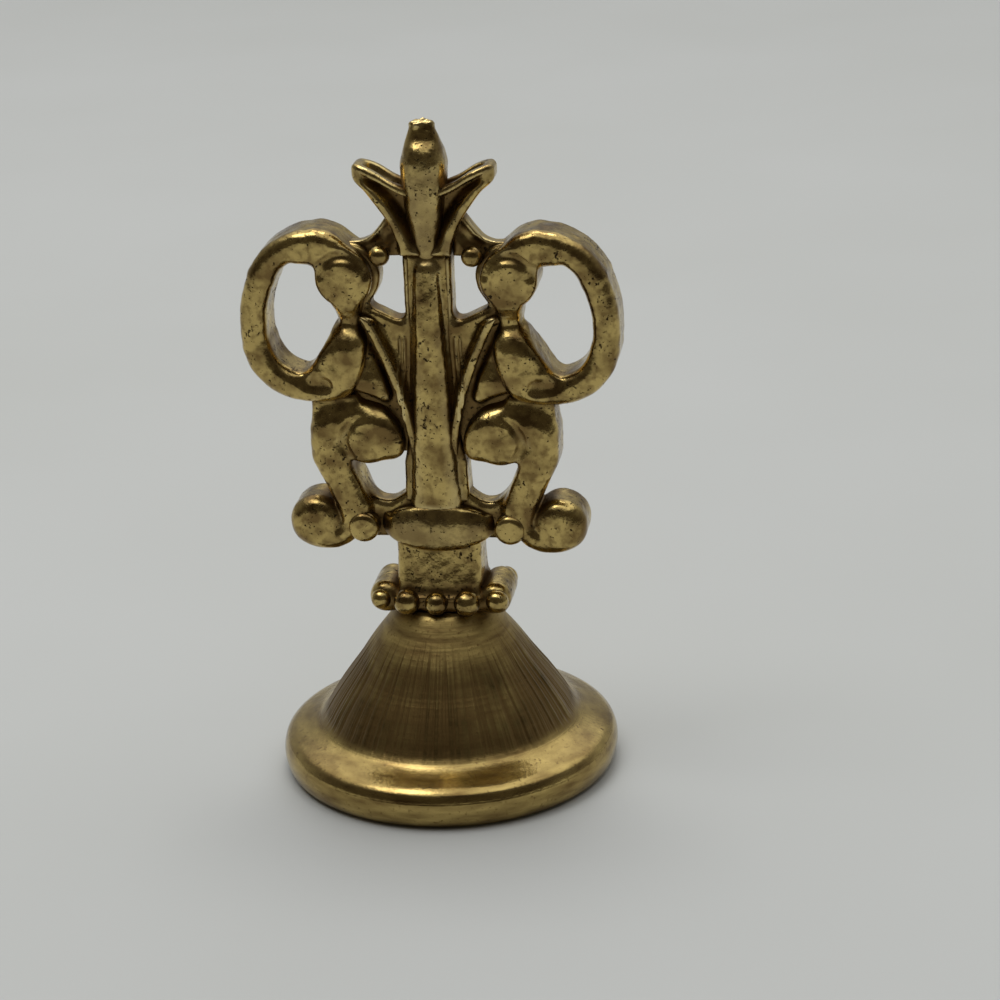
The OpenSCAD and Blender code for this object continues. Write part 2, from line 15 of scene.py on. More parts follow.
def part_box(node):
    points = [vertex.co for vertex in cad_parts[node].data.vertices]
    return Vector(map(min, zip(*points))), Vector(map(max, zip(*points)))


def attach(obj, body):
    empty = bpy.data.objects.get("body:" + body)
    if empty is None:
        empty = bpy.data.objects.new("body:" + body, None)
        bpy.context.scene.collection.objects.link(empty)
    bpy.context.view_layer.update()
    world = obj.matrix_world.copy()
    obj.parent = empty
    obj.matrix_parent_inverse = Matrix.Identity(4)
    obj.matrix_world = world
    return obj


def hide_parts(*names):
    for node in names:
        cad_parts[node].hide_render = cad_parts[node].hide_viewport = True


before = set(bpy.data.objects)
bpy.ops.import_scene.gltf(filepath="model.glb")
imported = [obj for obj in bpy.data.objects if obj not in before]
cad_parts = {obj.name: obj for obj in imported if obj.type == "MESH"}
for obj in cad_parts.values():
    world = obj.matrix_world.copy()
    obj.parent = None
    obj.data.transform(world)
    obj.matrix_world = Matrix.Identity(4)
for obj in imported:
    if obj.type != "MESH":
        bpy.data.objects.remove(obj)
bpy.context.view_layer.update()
MM = 0.001

# %% [markdown]
# ## Levels of the stack
# Every height in the handle counts from the top of the band, where the openwork begins. The heights come
# from the solids themselves, so the dressed model sits exactly where the construction puts it.

# %% Levels
def level(node, end):
    """Height of a node's bottom (end 0) or top (end 1), in mm."""
    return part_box(node)[end][2] / MM


band_top = level("band_collar", 1)
collar_low, collar_high = level("bead_collar", 0), level("bead_collar", 1)
stem_high = level("stem", 1) - band_top
print("band top at", round(band_top, 2), "mm, stem", round(stem_high, 2), "mm tall")

# %% [markdown]
# ## The camera
# The photograph was taken from a little above and to the right, with a long lens and a slight tilt of
# the hand. A fit to the two ellipses of the rim gave these angles, so the camera is built from them
# rather than set by eye.

# %% Camera
PITCH, YAW, ROLL = math.radians(21.2), math.radians(9.56), math.radians(2.34)
camera_at = Vector((38.68, -203.05, 100.86)) * MM
turn_yaw = Matrix.Rotation(YAW, 3, "Z")
ahead = turn_yaw @ Vector((0, math.cos(PITCH), -math.sin(PITCH)))
level_right = turn_yaw @ Vector((1, 0, 0))
level_up = level_right.cross(ahead)
right = math.cos(ROLL) * level_right - math.sin(ROLL) * level_up
up = math.sin(ROLL) * level_right + math.cos(ROLL) * level_up

camera = bpy.data.objects.new("camera", bpy.data.cameras.new("camera"))
camera.data.lens = 108
camera.data.sensor_width = 36
camera.data.clip_start = 0.01
camera.matrix_world = Matrix.Translation(camera_at) @ Matrix((right, up, -ahead)).transposed().to_4x4()
bpy.context.collection.objects.link(camera)
bpy.context.scene.camera = camera
print("camera looks along", [round(c, 3) for c in ahead])

# %% [markdown]
# ## Shaping by distance
# Cast ornament has no sharp inner corners: metal flows, and pattern makers round what they carve.
# Booleans on plain meshes would leave hard seams. Instead, each piece is written as a distance: negative
# inside the metal, positive outside. Two distances can be blended with a fillet, or one carved softly out
# of another, and both keep the look of wax worked by hand.

# %% Distance helpers
def blend(a, b, soft):
    """Both shapes, joined by a fillet about as wide as soft."""
    h = np.clip(0.5 + 0.5 * (b - a) / soft, 0, 1)
    return b + (a - b) * h - soft * h * (1 - h)


def carve(a, b, soft):
    """The first shape with the second cut out of it, its rim eased."""
    return -blend(-a, b, soft)


def corner(a, b, r):
    """The space inside two edges, with the corner where they meet rounded."""
    a, b = a + r, b + r
    return np.minimum(np.maximum(a, b), 0) + np.hypot(np.maximum(a, 0), np.maximum(b, 0)) - r


def relief(plan, out, half, edge):
    """An outline raised to half a thickness on front and back, with rounded edges."""
    return corner(plan, out - half, edge)


def off_arc(x, z, mid, r, start, end):
    """Distance from an arc's line, angles in degrees."""
    dx, dz = x - mid[0], z - mid[1]
    centre, half = math.radians(start + end) / 2, math.radians(end - start) / 2
    turn = np.abs((np.arctan2(dz, dx) - centre + math.pi) % (2 * math.pi) - math.pi)
    tips = [(r * math.cos(math.radians(t)), r * math.sin(math.radians(t))) for t in (start, end)]
    beyond = np.minimum(*[np.hypot(dx - tx, dz - tz) for tx, tz in tips])
    return np.where(turn <= half, np.abs(np.hypot(dx, dz) - r), beyond)


def taper(x, z, a, b, ra, rb):
    """Outline of a bar with round ends that changes its radius on the way."""
    vx, vz = b[0] - a[0], b[1] - a[1]
    t = np.clip(((x - a[0]) * vx + (z - a[1]) * vz) / (vx * vx + vz * vz), 0, 1)
    return np.hypot(x - a[0] - t * vx, z - a[1] - t * vz) - ra - t * (rb - ra)


def off_path(x, z, *points):
    """Distance from a chain of points."""
    return np.minimum.reduce([taper(x, z, a, b, 0, 0) for a, b in zip(points, points[1:])])


def groove(line, out, surface, r):
    """A round-bottomed groove along a line, at a depth out from the middle plane."""
    return np.hypot(line, out - surface) - r


def ease(value, start, end):
    """Rises smoothly from 0 at start to 1 at end."""
    t = np.clip((value - start) / (end - start), 0, 1)
    return t * t * (3 - 2 * t)


def smooth_line(points, per_span=8):
    """A smooth line through a list of points."""
    p = np.array(points, float)
    p = np.vstack([2 * p[0] - p[1], p, 2 * p[-1] - p[-2]])
    t = np.linspace(0, 1, per_span, endpoint=False)[:, None]
    runs = []
    for a, b, c, d in zip(p, p[1:], p[2:], p[3:]):
        runs.append(0.5 * (2 * b + (c - a) * t + (2 * a - 5 * b + 4 * c - d) * t ** 2
                           + (3 * b - a - 3 * c + d) * t ** 3))
    return np.vstack([*runs, p[-2:-1]])


def uneven(x, out, z):
    """The slow swell of a hand-cast skin, a few hundredths of a millimetre."""
    a = np.sin(1.9 * x + 1.1 * z) * np.sin(1.5 * z - 0.8 * x + 1.7 * out)
    b = np.sin(3.7 * x - 2.9 * z + 1.3) * np.sin(3.1 * z + 2.3 * out)
    return 0.022 * a + 0.012 * b


print("shapes are sized in mm from the band's top")

# %% [markdown]
# ## A skin round a distance
# To show such a shape, a grid of points asks it where inside turns to outside, and every grid cell on that
# border gives one vertex. Each vertex then slides along the slope onto the exact surface. The remesh
# modifier could do something like it, but it would blur the fine creases first.

# %% Skin
def slope(shape, p, step=0.02):
    """Direction in which the distance grows fastest, at each point."""
    parts = []
    for k in range(3):
        q = np.zeros(3)
        q[k] = step
        parts.append((shape(*(p + q).T) - shape(*(p - q).T)) / (2 * step))
    return np.stack(parts, axis=1)


def skin(shape, low, high, cell):
    """Vertices and quads round the space where the shape's distance is below zero."""
    low = np.array(low) - 2.5 * cell
    counts = np.ceil((np.array(high) + 2.5 * cell - low) / cell).astype(int) + 1
    axes = [low[k] + cell * np.arange(counts[k]) for k in range(3)]
    value = shape(*np.meshgrid(*axes, indexing="ij"))
    total, count = np.zeros((*(counts - 1), 3)), np.zeros(counts - 1)
    rings = []
    for k in range(3):
        va, vb = np.delete(value, -1, k), np.delete(value, 0, k)
        at = np.argwhere((va < 0) != (vb < 0))
        va, vb = va[tuple(at.T)], vb[tuple(at.T)]
        point = at.astype(float)
        point[:, k] += va / (va - vb)
        ring = []
        for d1, d2 in ((0, 0), (1, 0), (1, 1), (0, 1)):
            c = at.copy()
            c[:, (k + 1) % 3] -= d1
            c[:, (k + 2) % 3] -= d2
            np.add.at(total, tuple(c.T), point)
            np.add.at(count, tuple(c.T), 1)
            ring.append(np.ravel_multi_index(tuple(c.T), count.shape))
        ring = np.stack(ring, axis=1)
        rings.append(np.where((va < 0)[:, None], ring, ring[:, ::-1]))
    used = np.flatnonzero(count)
    number = np.full(count.size, -1)
    number[used] = np.arange(len(used))
    verts = low + cell * total.reshape(-1, 3)[used] / count.ravel()[used, None]
    for _ in range(3):
        g = slope(shape, verts)
        move = shape(*verts.T) / np.maximum((g * g).sum(axis=1), 0.2)
        verts = verts - np.clip(move, -0.6 * cell, 0.6 * cell)[:, None] * g
    return verts, number[np.concatenate(rings)]


print("skin ready")

# %% [markdown]
# ## The C scroll
# The largest ornament is a band bent like a C. Its upper end curls into a flat volute, its lower end into
# a rounded lobe, and a narrow neck ties the two. The band follows five arcs that pass into one another.
# A shallow crease follows the volute's upper edge, and a hollow parts the lobe from the band. Arcs are
# used because any dent in a freely drawn curve would show at once in the reflections.

# %% C scroll
SCROLL_HALF = 2.1
# Each arc: middle, radius of the band's middle line, first and last angle, half of the band's width
C_ARCS = (
    ((3.9, 13.5), 8.98, -10, 25, 0.98),
    ((8.06, 15.44), 4.4, 25, 90, 1.0),
    ((8.06, 17.7), 2.06, 90, 200, 1.07),
    ((9.085, 12.586), 3.67, -90, -10, 1.06),
    ((8.3, 11.4), 2.52, -190, -90, 1.02),
)
# Middle of the volute, the waist under it, and the ends of the lobe's middle line
UPPER, UPPER_R, WAIST = (5.98, 17.2), 2.08, (5.8, 14.7)
LOBE_A, LOBE_B = (6.15, 12.5), (7.1, 10.0)


def c_scroll(x, y, z):
    z, out = z - band_top, np.abs(y)
    # A short straight run joins the two lowest arcs
    plan = taper(x, z, (8.3, 8.9), (9.085, 8.92), 1.04, 1.06)
    for arc in C_ARCS:
        plan = blend(plan, off_arc(x, z, *arc[:4]) - arc[4], 0.2)
    # The band thickens where it runs into the volute
    plan = blend(plan, taper(x, z, (7.3, 19.1), (9.1, 19.25), 1.1, 1.02), 0.5)
    band = relief(plan, out, SCROLL_HALF, 0.92)
    rho = np.hypot(x - UPPER[0], z - UPPER[1])
    # The volute is drawn out to a drop that ends in the waist
    drop = np.minimum(rho - UPPER_R, taper(x, z, UPPER, WAIST, 2.0, 0.78))
    disc = relief(drop, out, 2.1 - 0.03 * rho ** 2 - 0.4 * np.maximum(15.7 - z, 0) ** 2, 0.5)
    crown = 2.2 - 0.1 * taper(x, z, LOBE_A, LOBE_B, 0, 0) ** 2 - 0.3 * np.maximum(z - 11.4, 0) ** 2
    lobe = relief(taper(x, z, LOBE_A, LOBE_B, 1.2, 1.7), out, crown, 0.6)
    neck = relief(off_path(x, z, (5.8, 13.0), (5.8, 15.6)) - 0.74, out, 1.25, 0.6)
    f = blend(blend(band, disc, 0.8), blend(lobe, neck, 1.2), 1.0)
    crease = off_arc(x, z, UPPER, 1.85, 12, 165)
    f = carve(f, groove(crease, out, 2.2, 0.3), 0.45)
    crescent = off_path(x, z, (9.5, 10.3), (9.2, 9.75), (8.7, 9.4), (7.9, 9.3))
    f = carve(f, groove(crescent, out, 2.72, 0.92), 0.3)
    return f + uneven(x, out, z)


print("C scroll:", len(C_ARCS), "arcs,", 2 * SCROLL_HALF, "mm deep")

# %% [markdown]
# ## The S scroll
# Under each C stands an S: a head that curls round a disc, a sloping leg and a foot that rolls outwards
# over a ball. The band is as deep as the C's, so both read as one casting. A shallow crease follows the
# disc, and a deeper one parts the leg from the ball.

# %% S scroll
HEAD, DISC, BALL = (5.657, 4.5), (4.68, 5.0), (9.05, -1.6)


def s_scroll(x, y, z):
    z, out = z - band_top, np.abs(y)
    head = off_arc(x, z, HEAD, 2.4, -20, 180) - 1.1
    leg = taper(x, z, (7.76, 3.6), (6.1, -0.4), 1.3, 1.2)
    foot = off_arc(x, z, (8.25, -0.85), 2.0, 165, 330) - 0.85
    plan = blend(blend(head, leg, 0.3), foot, 0.5)
    band = relief(plan, out, SCROLL_HALF - 0.3 * np.maximum(z - 6.0, 0) ** 2, 0.85)
    rho = np.hypot(x - DISC[0], z - DISC[1])
    disc = relief(rho - 1.85, out, 2.1 - 0.04 * rho ** 2, 0.55)
    ball_rho = np.hypot(x - BALL[0], z - BALL[1])
    ball = relief(ball_rho - 2.02, out, 2.25 - 0.1 * ball_rho ** 2, 0.8)
    f = blend(blend(band, disc, 0.4), ball, 0.3)
    crook = relief(taper(x, z, (5.4, 4.6), (6.5, 4.4), 0.9, 0.9), out, 1.8, 0.4)
    shoulder = relief(corner(np.abs(x - 7.2) - 1.75, np.abs(z - 6.9) - 1.5, 0.4), out, 1.45, 0.4)
    hang = z + 0.05 - 0.35 * (x - 3.85) ** 2
    sill = relief(np.maximum.reduce([hang * 0.7, -2.9 - z, np.abs(x - 3.7) - 2.1]), out, 1.0, 0.45)
    f = blend(blend(blend(f, crook, 0.9), shoulder, 0.9), sill, 0.8)
    f = carve(f, groove(off_arc(x, z, DISC, 1.85, -42, 70), out, 2.14, 0.26), 0.35)
    parting = off_path(x, z, (8.1, 0.9), (7.55, -0.3), (7.3, -1.3), (7.3, -1.8))
    f = carve(f, groove(parting, out, 2.25, 0.32), 0.35)
    return f + uneven(x, out, z)


print("S scroll: disc at", DISC, "ball at", BALL)

# %% [markdown]
# ## Stem and leaves
# The stem is a flat bar with a raised tongue on each face. A leaf rises at each side, a thin blade whose
# outer edge stands proud and whose inside sinks towards the tongue. Both change their width slowly on the
# way up, so each is drawn from a short table of widths instead of one stretched box.

# %% Stem
# Height above the band, with half of the bar's width, half of the tongue's width, and the tongue's rise
BAR_WIDTH = ([0, 3, 5.5, 11.8, 19], [2.4, 2.3, 1.9, 1.55, 1.48])
TONGUE_WIDTH = ([0, 2, 6, 18.4], [1.92, 1.72, 1.5, 0.9])
TONGUE_RISE = ([0, 3, 14.2, 17.4, 18.4], [1.05, 1.15, 1.1, 0.72, 0.62])
TONGUE_ROUND = 2.3


def stem(x, y, z):
    z, out = z - band_top, np.abs(y)
    bar_w = np.interp(z, *BAR_WIDTH)
    bar = relief(np.maximum(np.abs(x) - bar_w, np.abs(z - stem_high / 2) - stem_high / 2), out, 1.1, 0.35)
    w = np.interp(z, *TONGUE_WIDTH)
    rise = np.interp(z, *TONGUE_RISE)
    past = np.maximum(z - (stem_high - 0.45 - w), 0)
    parts = (np.abs(x) / w, np.maximum(out - 0.95, 0) / rise, past / w)
    lean = np.sqrt(sum(part ** TONGUE_ROUND for part in parts)) - 1
    tongue = np.maximum(lean * np.minimum(w, rise) * 0.8, -z - 0.3)
    return blend(bar, tongue, 0.3) + uneven(x, out, z)


print("stem", round(2 * BAR_WIDTH[1][0], 2), "mm wide at its foot")

# %% Leaf
LEAF_LEAN, LEAF_BEND = 0.0929, 0.02165
# Side of the stem at each height, and the two fine raised lines that run down beside it
STEM_SIDE = ([0, 5.5, 11.8, 19], [2.1, 1.9, 1.55, 1.45])
LEAF_LINES = (0.3, 0.66)


def leaf_edge(z):
    """Distance of the leaf's outer edge from the middle."""
    t = np.clip(z, 1, 15) - 4
    return 1.75 + LEAF_LEAN * t + LEAF_BEND * t * t


def leaf(x, y, z):
    z, out = z - band_top, np.abs(y)
    lean = LEAF_LEAN + 2 * LEAF_BEND * (np.clip(z, 1, 15) - 4)
    inside = (leaf_edge(z) - x) / np.sqrt(1 + lean ** 2)
    brow = 0.92 * (z - 14.5) - 0.38 * (x - 5.0)
    plan = np.maximum.reduce([corner(-inside, brow, 0.25), 0.8 - z, 0.9 - x])
    face = 0.98 + 0.78 * np.exp(-(np.maximum(inside - 0.42, 0) / 0.4) ** 2) * ease(z, 2.0, 6.0)
    for line in LEAF_LINES:
        past = x - np.interp(z, *STEM_SIDE) - line
        face = face + 0.13 * np.exp(-(past / 0.11) ** 2) * ease(13.0 - z, 0, 0.6)
    return relief(plan, out, face, 0.26) + uneven(x, out, z)


print("leaf edge runs from", leaf_edge(np.array(3.0)), "to", leaf_edge(np.array(14.3)))

# %% [markdown]
# ## Webs and pads
# A moulder leaves thin webs between the ornaments for strength, set back from the front. One web runs from
# the stem over the leaf to the volute, and a shield-shaped pad fills the space between leaf and lobe. They
# are shapes of their own, because the eye reads them as lying behind the rest.

# %% Webs and pads
def web(x, y, z):
    z, out = z - band_top, np.abs(y)
    sill = taper(x, z, (1.5, 13.0), (5.4, 14.5), 0.6, 0.75)
    rho = np.hypot(x - UPPER[0], z - UPPER[1])
    rim = np.maximum(np.abs(rho - 2.1) - 0.4, np.maximum(x - 6.0, 14.6 - z))
    post = np.maximum(np.abs(x - 1.45) - 0.3, np.abs(z - 16) - 2.8)
    return relief(blend(blend(sill, rim, 0.9), post, 0.9), out, 1.0, 0.42) + uneven(x, out, z)


# Height above the band, with the pad's outer side, and with half of its depth
PAD_SIDE = ([8, 12, 13.5, 14.2], [6.8, 6.4, 5.7, 5.4])
PAD_FACE = ([8, 9.6, 11, 13.5], [1.66, 1.6, 1.25, 0.95])


def pad(x, y, z):
    z, out = z - band_top, np.abs(y)
    shield = np.maximum(leaf_edge(z) + 0.45 - x, x - np.interp(z, *PAD_SIDE))
    foot = (8.0 + 0.42 * (x - 4.0) - z) * 0.92
    boss = relief(corner(np.maximum(shield, z - 14.2), foot, 0.9), out, np.interp(z, *PAD_FACE), 0.6)
    back = relief(np.maximum.reduce([1.5 - x, x - 6.4, z - 14.0, 3.8 - z]), out, 0.75, 0.3)
    return blend(boss, back, 0.3) + uneven(x, out, z)


print("webs 2 mm thick, pads", 2 * PAD_FACE[1][0], "mm over both faces")

# %% [markdown]
# ## The finial
# A bud stands between two petals. Its blunt tip is rough, where the sprue of the casting was nipped off.
# Each petal is a leaf folded outwards: a raised rim, a deep hollow beside the bud and a trough across the
# top of its tip. A bead sits at each petal's foot, and a small saddle joins the petal to the C scroll.

# %% Bud
# Height above the bud's foot, with half the width there, then half the depth
BUD = smooth_line([(0, 0.8), (0.3, 0.85), (1.7, 1.07), (3.7, 1.42), (5.7, 1.57), (7.0, 1.66), (7.8, 1.52),
                   (8.7, 1.25), (9.5, 0.97), (10.1, 0.8), (10.6, 0.7)]).T
BUD_FRONT = smooth_line([(0, 1.1), (1.7, 1.42), (3.7, 1.82), (5.7, 1.93), (7.0, 1.9), (7.9, 1.7),
                         (8.35, 1.44), (8.9, 0.94), (9.4, 0.74), (10.1, 0.62), (10.6, 0.52)]).T
BUD_TOP, BUD_ROUND = 10.12, 2.4


def bud(x, y, z):
    t, out = z - band_top - stem_high + 0.6, np.abs(y)
    r = np.interp(t, *BUD)
    front = np.interp(t, *BUD_FRONT)
    lean = ((np.abs(x) / r) ** BUD_ROUND + (out / front) ** BUD_ROUND) ** (1 / BUD_ROUND) - 1
    lean = lean * r * 0.85
    f = np.maximum(corner(lean, t - BUD_TOP, 0.25), -t)
    rough = np.sin(9 * x + 2 * t) * np.sin(8 * y + 1) + np.sin(13 * y - 5 * x + 3 * t)
    return f + uneven(x, out, z) + 0.07 * ease(t, 9.3, 10.2) * rough


print("bud", BUD_TOP, "mm tall, at most", round(2 * BUD[1].max(), 2), "mm wide")

# %% Petals
# Outline of a petal: how far its side stands out at each height, how high its brow is at each distance
PETAL_SIDE = smooth_line([(-0.5, 1.85), (0.35, 1.9), (1.85, 2.35), (3.35, 3.2), (4.6, 4.15), (5.15, 4.8),
                          (5.45, 5.05), (5.9, 5.14), (6.9, 5.15)]).T
PETAL_BROW = smooth_line([(0.4, 4.7), (1.2, 4.9), (2.2, 5.35), (3.4, 6.05), (4.4, 6.5), (5.4, 6.75)]).T


def petal(x, y, z):
    t, out = z - band_top - stem_high, np.abs(y)
    brow = np.interp(x, *PETAL_BROW)
    side, above = (x - np.interp(t, *PETAL_SIDE)) * 0.8, (t - brow) * 0.9
    plan = np.maximum.reduce([corner(side, above, 0.45), -0.05 - t, 0.4 - x])
    sunk = np.minimum(ease(-side, 0.4, 1.3), ease(-above, 0.4, 0.75)) * ease(t, -0.2, 1.4)
    tip = np.clip((x - 3.5) / 1.6, 0, 1)
    f = relief(plan, out, (1.42 - 1.0 * sunk) * (1 - 0.4 * tip ** 2), 0.3)
    length = np.maximum(np.abs(x - 2.4) - 1.3, 0)
    trough = np.sqrt(out ** 2 + (0.75 * (t - brow - 0.05)) ** 2 + length ** 2) - 0.66
    return carve(f, trough, 0.2) + uneven(x, out, z)


def petal_bead(x, y, z):
    t, out = z - band_top - stem_high, np.abs(y)
    return np.sqrt((x - 3.35) ** 2 + (t + 0.05) ** 2 + (out - 1.2) ** 2) - 0.76


LINK_TOP = smooth_line([(1.6, 4.0), (2.6, 3.0), (3.3, 2.05), (4.0, 1.25), (4.8, 0.85), (6.2, 0.75)]).T


def link(x, y, z):
    t, out = z - band_top - stem_high, np.abs(y)
    top = (t - np.interp(x, *LINK_TOP)) * 0.75
    f = relief(np.maximum.reduce([top, -0.2 - t, 1.9 - x, x - 5.7]), out, 0.8, 0.35)
    hollow = off_path(x, t, (2.4, 1.9), (3.3, 0.9), (4.2, 0.4), (5.2, 0.25))
    return carve(f, groove(hollow, out, 1.0, 0.6), 0.3) + uneven(x, out, z)


print("petal reaches", PETAL_SIDE[1].max(), "mm to the side")

# %% [markdown]
# ## Band and neck
# Under the handle a bulging band carries a button at each end, and a plain neck drops from it. The band's
# belly is drawn from its upright section, so the crisp lip on top and the round underside stay as they are
# while the band narrows towards its ends.

# %% Band and neck
# The band's upright section: height from its middle, and share of its full depth
BAND_MID, BAND_LONG = -1.83, 4.25
BAND_SECTION = smooth_line([(-1.83, 0.66), (-1.7, 0.8), (-1.35, 0.91), (-0.7, 0.98), (-0.1, 1.0),
                            (0.45, 0.98), (0.95, 0.93), (1.35, 0.865), (1.62, 0.79), (1.78, 0.7),
                            (1.83, 0.6)]).T
# The neck: half of its width, and half of its depth at two heights
NECK_HALF, NECK_DEPTH = 3.15, ([0, 2.4], [2.15, 1.75])


def band_collar(x, y, z):
    z, out = z - band_top, np.abs(y)
    drawn = np.sqrt(np.clip(1 - (x / BAND_LONG) ** 2, 0.02, 1))
    up = z - BAND_MID
    up = np.where(up < 0, up / drawn, up / np.maximum(drawn, 0.55))
    belly = (out - (0.7 + 1.75 * drawn) * np.interp(up, *BAND_SECTION)) * 0.7
    f = np.maximum(corner(belly, np.abs(up) - 1.83, 0.08), np.abs(x) - 4.2)
    knuckle = np.maximum(np.hypot(out, (z - BAND_MID) * 0.9) - 0.85, np.abs(np.abs(x) - 4.2) - 0.5)
    return blend(f, knuckle, 0.3) + 0.5 * uneven(x, out, z)


def neck_block(x, y, z):
    z, out = z - collar_high, np.abs(y)
    flare = 0.5 * np.exp(-np.maximum(z + 1.0, 0) / 0.35)
    plan = corner(np.abs(x) - NECK_HALF - 0.5 * flare, out - np.interp(z, *NECK_DEPTH) - flare, 0.8)
    return np.maximum(plan, np.maximum(-z - 1.4, z - 3.7)) + uneven(x, out, z)


def band_bead(x, y, z):
    z, out = z - band_top, np.abs(y)
    rho = np.hypot(x - 5.45, z + 1.75)
    return np.maximum(relief(rho - 1.15, out, 2.42 - 0.07 * rho ** 2, 0.45), 0.5 - out)


print("band", 2 * BAND_LONG, "mm wide, neck", 2 * NECK_HALF, "mm wide")

# %% [markdown]
# ## The bead collar
# Between neck and bell lies a low plate with rolled ends, and a row of beads runs along its front and back.
# The beads are slightly unequal, as punched or carved beads always are. Plain balls are enough, because
# only their outer halves stand out of the plate.

# %% Bead collar
# Place and radius of each bead in a row
BEAD_X = (-4.35, -2.35, -0.1, 2.15, 4.35)
BEAD_R = (0.76, 0.97, 0.86, 0.97, 0.86)


def collar_front(x):
    """How far the collar's plate stands out at a distance from the middle."""
    return 3.05 - 1.0 * (x / 5.3) ** 2


def bead_collar(x, y, z):
    h, out = z - (collar_low + collar_high) / 2, np.abs(y)
    plate = relief(np.maximum(np.abs(x) - 4.9, out - collar_front(x) + 0.35), np.abs(h + 0.3), 0.7, 0.6)
    roll = relief(np.hypot(np.abs(x) - 4.1, h) - 1.2, out, 2.45, 1.0)
    return blend(plate, roll, 0.5) + uneven(x, out, z)


def collar_bead(x, y, z):
    h, out = z - (collar_low + collar_high) / 2, np.abs(y)
    rows = []
    for bx, r in zip(BEAD_X, BEAD_R):
        rows.append(np.sqrt((x - bx) ** 2 + h * h + (out - collar_front(bx) + 0.1) ** 2) - r)
    return np.maximum(np.minimum.reduce(rows), 1.2 - out)


print(2 * len(BEAD_X), "beads on the collar")

# %% [markdown]
# ## How deep a spot lies
# Gilt wears off the high places, and dirt and tarnish stay in the low ones, where painted shade darkens
# the metal further. To know which is which, every vertex looks outwards along its normal: if metal is close
# there, the spot is a hollow. Looking inwards tells the opposite: if the metal is thin there, the spot is an
# edge. Both numbers are stored on the mesh for the material to read.

# %% Hollows and edges
# The bell's outline, roughly: heights, then the radius at each
BELL_LINE = ([0, 2.2, 3.0, 3.7, 5.3, 8.3, 11.2, 12.6], [12.6, 12.6, 11.7, 9.8, 9.0, 6.75, 4.75, 3.6])


def bell_rough(x, y, z):
    return np.maximum((np.hypot(x, y) - np.interp(z, *BELL_LINE)) * 0.85, z - 12.6)


MIRRORED = (c_scroll, s_scroll, leaf, web, pad, petal, petal_bead, link, band_bead)
CENTRED = (stem, bud, band_collar, neck_block, bead_collar, collar_bead, bell_rough)


def all_metal(x, y, z):
    """Distance from the whole stamp."""
    near = [shape(np.abs(x), y, z) for shape in MIRRORED] + [shape(x, y, z) for shape in CENTRED]
    return np.minimum.reduce(near)


def hollow_and_edge(verts, normals):
    hollow, edge = np.zeros(len(verts)), np.zeros(len(verts))
    for reach in (0.35, 0.8, 1.6):
        hollow += np.clip(1 - all_metal(*(verts + reach * normals).T) / reach, 0, 1.5) / 4
    # Four more looks, slanting to the sides, find the walls of a recess
    across = np.cross(normals, (0.37, 0.21, 0.9))
    across /= np.maximum(np.linalg.norm(across, axis=1), 1e-6)[:, None]
    along = np.cross(normals, across)
    for slant in (across, -across, along, -along):
        hollow += np.clip(1 - all_metal(*(verts + 0.6 * normals + 0.8 * slant).T) / 0.6, 0, 1.5) / 6
    for reach in (0.3, 0.6):
        edge += np.clip(1 + all_metal(*(verts - reach * normals).T) / reach, 0, 1) / 2
    return hollow, edge


print("surfaces feel", len(MIRRORED) + len(CENTRED), "shapes around them")

# %% [markdown]
# ## Materials
# A small helper adds a shader node with its settings and links. Colours are written as the hex values a
# painter would pick, and one function turns them into the linear light that the renderer works in.

# %% Node helper
def linear(code):
    """A colour in sRGB hex as linear RGBA."""
    parts = [int(code[i:i + 2], 16) / 255 for i in (1, 3, 5)]
    return (*[c / 12.92 if c <= 0.04045 else ((c + 0.055) / 1.055) ** 2.4 for c in parts], 1.0)


def add(tree, kind, links=None, **settings):
    """A node of a kind, with its properties set and its sockets set or linked."""
    node = tree.nodes.new(kind)
    for name, value in settings.items():
        setattr(node, name, value)
    for socket, value in (links or {}).items():
        if isinstance(value, bpy.types.NodeSocket):
            tree.links.new(value, node.inputs[socket])
        else:
            node.inputs[socket].default_value = value
    return node


def new_material(name):
    material = bpy.data.materials.new(name)
    material.use_nodes = True
    tree = material.node_tree
    return material, tree, tree.nodes["Principled BSDF"]


PER_MM = 1000.0
print("pattern scales count per metre:", PER_MM, "is one a millimetre")

# %% [markdown]
# ## Patterns
# Wear is built from a few patterns over and over: clouds, fine lines, a value stretched to a range, and one
# colour passing into another. Each gets a short name here, so that a material reads like a recipe.

# %% Pattern helpers
def noise(tree, where, size_mm, detail):
    """Clouds with grains of about a size in mm."""
    sockets = {"Vector": where, "Scale": PER_MM / size_mm, "Detail": detail}
    return add(tree, "ShaderNodeTexNoise", sockets).outputs["Fac"]


def lines_along(tree, way, size_mm):
    """Fine lines that change along a distance, about a size in mm apart."""
    sockets = {"W": way, "Scale": PER_MM / size_mm, "Detail": 2.0}
    return add(tree, "ShaderNodeTexNoise", sockets, noise_dimensions="1D").outputs["Fac"]


def spread(tree, value, low, high):
    """A value stretched so that low becomes 0 and high becomes 1."""
    return add(tree, "ShaderNodeMapRange", {"Value": value, "From Min": low, "From Max": high}).outputs[0]


def reckon(tree, operation, *values):
    """A sum with numbers or sockets."""
    return add(tree, "ShaderNodeMath", dict(enumerate(values)), operation=operation).outputs[0]


def tint(tree, share, first, second):
    """The first colour passing into the second, each a socket or a hex code."""
    a, b = [linear(c) if isinstance(c, str) else c for c in (first, second)]
    return add(tree, "ShaderNodeMix", {0: share, 6: a, 7: b}, data_type="RGBA").outputs[2]


